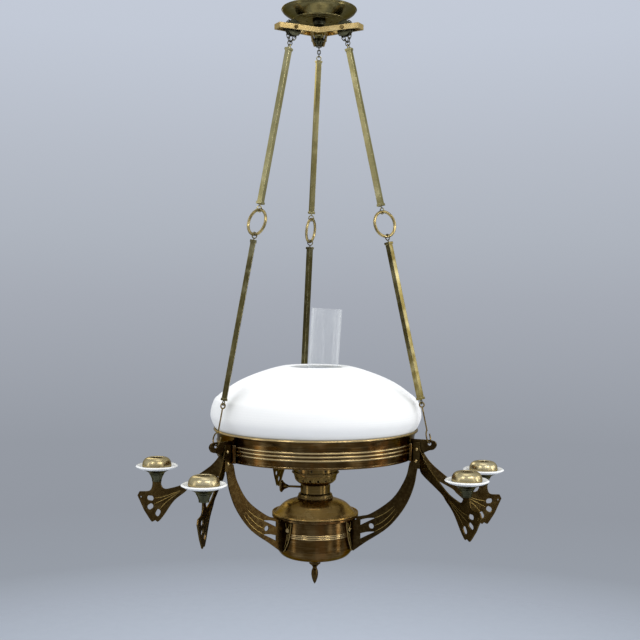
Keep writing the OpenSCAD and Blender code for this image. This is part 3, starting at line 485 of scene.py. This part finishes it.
# Chased lines of the candle plates: distance and height from the neck under the candle
PLATE_LINES = (
    ((4.2, -22.4), (-12, -18.6), (-36, -8.8)),
    ((4.8, -30.6), (-10, -23.2), (-35.5, -9.5)),
    ((-4.7, -35.8), (-15, -25.4), (-35, -10.3)),
)


def candle_plate_lines():
    for k in range(2 * len(BEARINGS)):
        shape = Shape()
        for line in PLATE_LINES:
            path = smooth_path([(CANDLE_REACH + x, -NECK_DROP + z) for x, z in line])
            shape.chased(path, on_plate(k), PLATE_T / 2, PLATE_SAG[k // 2][k % 2])
        shape.piece(f"candle_plate_lines_{k + 1}", line_brass, "frame")


def bowl_r(z):
    """Outer radius of the gallery's bowl at height z above its foot."""
    for (z0, r0), (z1, r1) in zip(BOWL, BOWL[1:]):
        if z <= z1:
            return r0 + (r1 - r0) * (z - z0) / (z1 - z0)
    return BOWL[-1][1]


# Scalloped border of the gallery, over its row of holes: half width in degrees, foot and rise
SCALLOPS = 16
SCALLOP_ARCS = ((10.6, 5.2, 7.2), (6.2, 5.6, 4.6))
ARC_STEPS = 14
SCALLOP_WIRE_R = 0.42
SCALLOP_PROUD = 0.05


def gallery_scallops():
    shape = Shape()
    for i in range(SCALLOPS):
        for half_width, foot, rise in SCALLOP_ARCS:
            arc = []
            for j in range(ARC_STEPS + 1):
                turn = math.pi * j / ARC_STEPS
                angle = math.radians(360 / SCALLOPS * i + half_width * math.cos(turn))
                z = foot + rise * math.sin(turn)
                arc.append(around(bowl_r(z) + SCALLOP_PROUD, angle, GALLERY_Z + z))
            shape.tube(arc, SCALLOP_WIRE_R)
    shape.piece("gallery_scallops", line_brass, "oil_font")


# Raised border and leaf lines of half a shield: wire radius, then shares of its half width and height
BORDER_R = 0.5
LEAF_R = 0.4
SHIELD_LINES = (
    (BORDER_R, ((0.93, -0.04), (0.9, -0.25), (0.67, -0.61), (0.23, -0.9), (0.0, -0.975))),
    (LEAF_R, ((0.5, -0.4), (0.44, -0.56), (0.3, -0.72), (0.14, -0.84))),
    (LEAF_R, ((0.34, -0.05), (0.38, -0.14), (0.48, -0.22))),
    (LEAF_R, ((0.78, -0.06), (0.72, -0.14), (0.6, -0.22))),
    (LEAF_R, ((0.7, -0.36), (0.6, -0.5), (0.5, -0.6))),
)


def shield_borders():
    shape = Shape()
    for bearing in BEARINGS:
        for side in (-1, 1):
            for radius, line in SHIELD_LINES:
                ridge = []
                for u, v in smooth_path(line):
                    angle = bearing_angle(bearing) + math.asin(side * u * SHIELD_W / 2 / SHIELD_R)
                    ridge.append(around(SHIELD_R, angle, SHIELD_Z + v * SHIELD_H))
                shape.tube(ridge, radius)
    shape.piece("holder_shield_borders", line_brass, "frame")


def font_rolled_edge():
    steps = 96
    wire_r = 1.1
    shape = Shape()
    brim = [around(BRIM_R, angle, BRIM_Z) for angle in turn_angles(steps)]
    shape.tube(brim, wire_r, sides=12, closed=True)
    shape.piece("font_rolled_edge", satin_brass, "oil_font")


# Milled edge of the burner's collar: radius and height along one rib
COLLAR_RIBS = 72
COLLAR_RIB = ((COLLAR_R - 0.2, 0.9), (COLLAR_R + 0.55, 1.5), (COLLAR_R + 0.75, COLLAR_H * 0.3),
              (COLLAR_R + 0.55, 3.1), (COLLAR_R - 0.2, 3.8))
COLLAR_RIB_R = 0.45


def collar_milling():
    shape = Shape()
    for angle in turn_angles(COLLAR_RIBS):
        rib = [around(r, angle, COLLAR_Z + z) for r, z in COLLAR_RIB]
        shape.tube(rib, COLLAR_RIB_R, sides=5)
    shape.piece("collar_milling", burner_brass, "oil_font")


# Milled rim of the wick knob: distance from its end and radius along one rib
KNOB_RIBS = 36
KNOB_RIB = ((-2.6, KNOB_R - 0.3), (-2.0, KNOB_R + 0.05), (-1.2, KNOB_R + 0.05), (-0.6, KNOB_R - 0.3))
KNOB_RIB_R = 0.3


def knob_milling():
    shape = Shape()
    place = at_bearing(KNOB_BEARING) @ Matrix.Translation((0, 0, LIP_Z + SPINDLE_Z))
    for angle in turn_angles(KNOB_RIBS):
        rib = [place @ Vector((KNOB_REACH + x, r * math.cos(angle), r * math.sin(angle)))
               for x, r in KNOB_RIB]
        shape.tube(rib, KNOB_RIB_R, sides=5)
    shape.piece("knob_milling", burner_brass, "knob")


# Stage, in metres: a pale floor that fades into the backdrop, a soft world and studio lights
FLOOR_R = 2.6
FLOOR_Z = -1.15
FLOOR_FADE = (0.72, 1.52)
FLOOR_TONES = ("adb4c0", "b4bbc7")
# Backdrop from its foot to its top, over this much of the height of the view's direction
BACKDROP_HEIGHT = 0.3
BACKDROP = ((0.0, "99a0aa"), (0.16, "9398a1"), (0.27, "959aa3"), (0.5, "a6abb5"), (0.6, "aeb4be"),
            (0.73, "b6bcc7"), (0.92, "c2c9d6"), (1.0, "c4cbd8"))
# Ambient light: its colour, and its strength between two heights of the direction it comes from
AMBIENT_TINT = (0.93, 0.96, 1.0, 1.0)
AMBIENT_HEIGHTS = (-0.35, 0.05)
AMBIENT_STRENGTHS = (0.2, 0.9)
# Studio lights: colour, and the points that they are turned to
LAMP_TINT = (1.0, 0.98, 0.95)
LAMP_AIM = (0, 0, -0.5)
ROD_AIM = (0.1, 0, -0.43)
# Name, place, aim, width with height, and watts
LAMPS = (
    ("key_left", (-1.35, -1.35, 0.95), LAMP_AIM, (0.5, 0.7), 6.2),
    ("key_right", (1.05, -1.6, 0.95), LAMP_AIM, (0.5, 0.7), 7.2),
    ("strip_left", (-1.7, -0.5, -0.4), LAMP_AIM, (0.3, 1.7), 2.6),
    ("front", (0.3, -1.55, 0.75), LAMP_AIM, (0.55, 0.4), 2.8),
    ("strip_right", (1.7, -0.75, -0.4), LAMP_AIM, (0.3, 1.7), 6.2),
    ("side_right", (1.85, -0.06, 0.05), ROD_AIM, (0.35, 0.6), 1.8),
    ("streak_right", (0.98, -1.26, -0.55), LAMP_AIM, (0.3, 1.4), 1),
    ("top", (0.1, 0.1, 1.5), LAMP_AIM, (1.2, 1.2), 4.8),
    ("rim_back", (-0.6, 1.9, 0.6), LAMP_AIM, (0.8, 0.8), 5),
)


def floor():
    bpy.ops.mesh.primitive_circle_add(
        vertices=96, radius=FLOOR_R, fill_type="NGON", location=(0, 0, FLOOR_Z))
    disc = bpy.context.object
    disc.name = "floor"
    made, t, shader = material("floor_paper")
    where = t.add("TexCoord").outputs["Object"]
    away = t.add("VectorMath", {0: where}, operation="LENGTH").outputs["Value"]
    grain = t.noise(where, 40.0, 4.0)
    t.put(shader.inputs["Base Color"], t.mix(grain, *[rgb(code) for code in FLOOR_TONES]))
    shader.inputs["Roughness"].default_value = 0.9
    t.put(shader.inputs["Alpha"], t.span(away, *FLOOR_FADE, 1.0, 0.0))
    disc.data.materials.append(made)


def world():
    """Backdrop that the eye, metal and glass see, and a soft light from above for the rest."""
    made = bpy.data.worlds.new("studio")
    bpy.context.scene.world = made
    made.use_nodes = True
    t = Tree(made.node_tree)
    up = t.add("SeparateXYZ", {0: t.add("TexCoord").outputs["Generated"]}).outputs[2]
    ramp = t.add("ValToRGB", {0: t.span(up, -BACKDROP_HEIGHT, BACKDROP_HEIGHT)})
    stops = ramp.color_ramp.elements
    for stop, (position, code) in zip(stops, (BACKDROP[0], BACKDROP[-1])):
        stop.position = position
        stop.color = rgb(code)
    for position, code in BACKDROP[1:-1]:
        stops.new(position).color = rgb(code)
    path = t.add("LightPath").outputs
    mirrored = t.math("MAXIMUM", path["Is Glossy Ray"], path["Is Transmission Ray"])
    seen = t.math("MAXIMUM", path["Is Camera Ray"], mirrored)
    strength = t.span(up, *AMBIENT_HEIGHTS, *AMBIENT_STRENGTHS)
    ambient = t.add("Background", {"Color": AMBIENT_TINT, "Strength": strength})
    backdrop = t.add("Background", {"Color": ramp.outputs[0], "Strength": 1.0})
    both = t.add("MixShader", {0: seen, 1: ambient.outputs[0], 2: backdrop.outputs[0]})
    out = t.add("OutputWorld")
    t.tree.links.new(both.outputs[0], out.inputs[0])


def softbox(name, place, aim, size, watts):
    lamp = bpy.data.lights.new(name, "AREA")
    lamp.shape = "RECTANGLE"
    lamp.size, lamp.size_y = size
    lamp.energy = watts
    lamp.color = LAMP_TINT
    made = bpy.data.objects.new(name, lamp)
    made.location = place
    made.rotation_euler = (Vector(aim) - Vector(place)).to_track_quat("-Z", "Y").to_euler()
    bpy.context.scene.collection.objects.link(made)


# Camera at the photograph's height, in metres, with its focal length in pixels of its picture
AZIMUTH = math.radians(-8)
DISTANCE = 1.345
ASIDE = 0.0044
EYE_Z = -0.412
DIP = math.radians(1.2)
ROLL = math.radians(0.46)
SENSOR_MM = 36.0
FOCAL_PIXELS = 1003
PICTURE_PIXELS = 640


def camera():
    data = bpy.data.cameras.new("camera")
    data.sensor_width = SENSOR_MM
    data.lens = SENSOR_MM * FOCAL_PIXELS / PICTURE_PIXELS
    made = bpy.data.objects.new("camera", data)
    look = Vector((-math.sin(AZIMUTH), math.cos(AZIMUTH), 0))
    right = look.cross(Vector((0, 0, 1)))
    made.location = -look * DISTANCE + right * ASIDE + Vector((0, 0, EYE_Z))
    aim = look - Vector((0, 0, math.tan(DIP)))
    level = aim.to_track_quat("-Z", "Y").to_matrix()
    made.rotation_euler = (level @ Matrix.Rotation(ROLL, 3, "Z")).to_euler()
    bpy.context.scene.collection.objects.link(made)
    bpy.context.scene.camera = made


bracket_lines()
candle_plate_lines()
gallery_scallops()
shield_borders()
font_rolled_edge()
collar_milling()
knob_milling()
floor()
world()
for lamp in LAMPS:
    softbox(*lamp)
camera()
bpy.context.scene.view_settings.view_transform = "Standard"
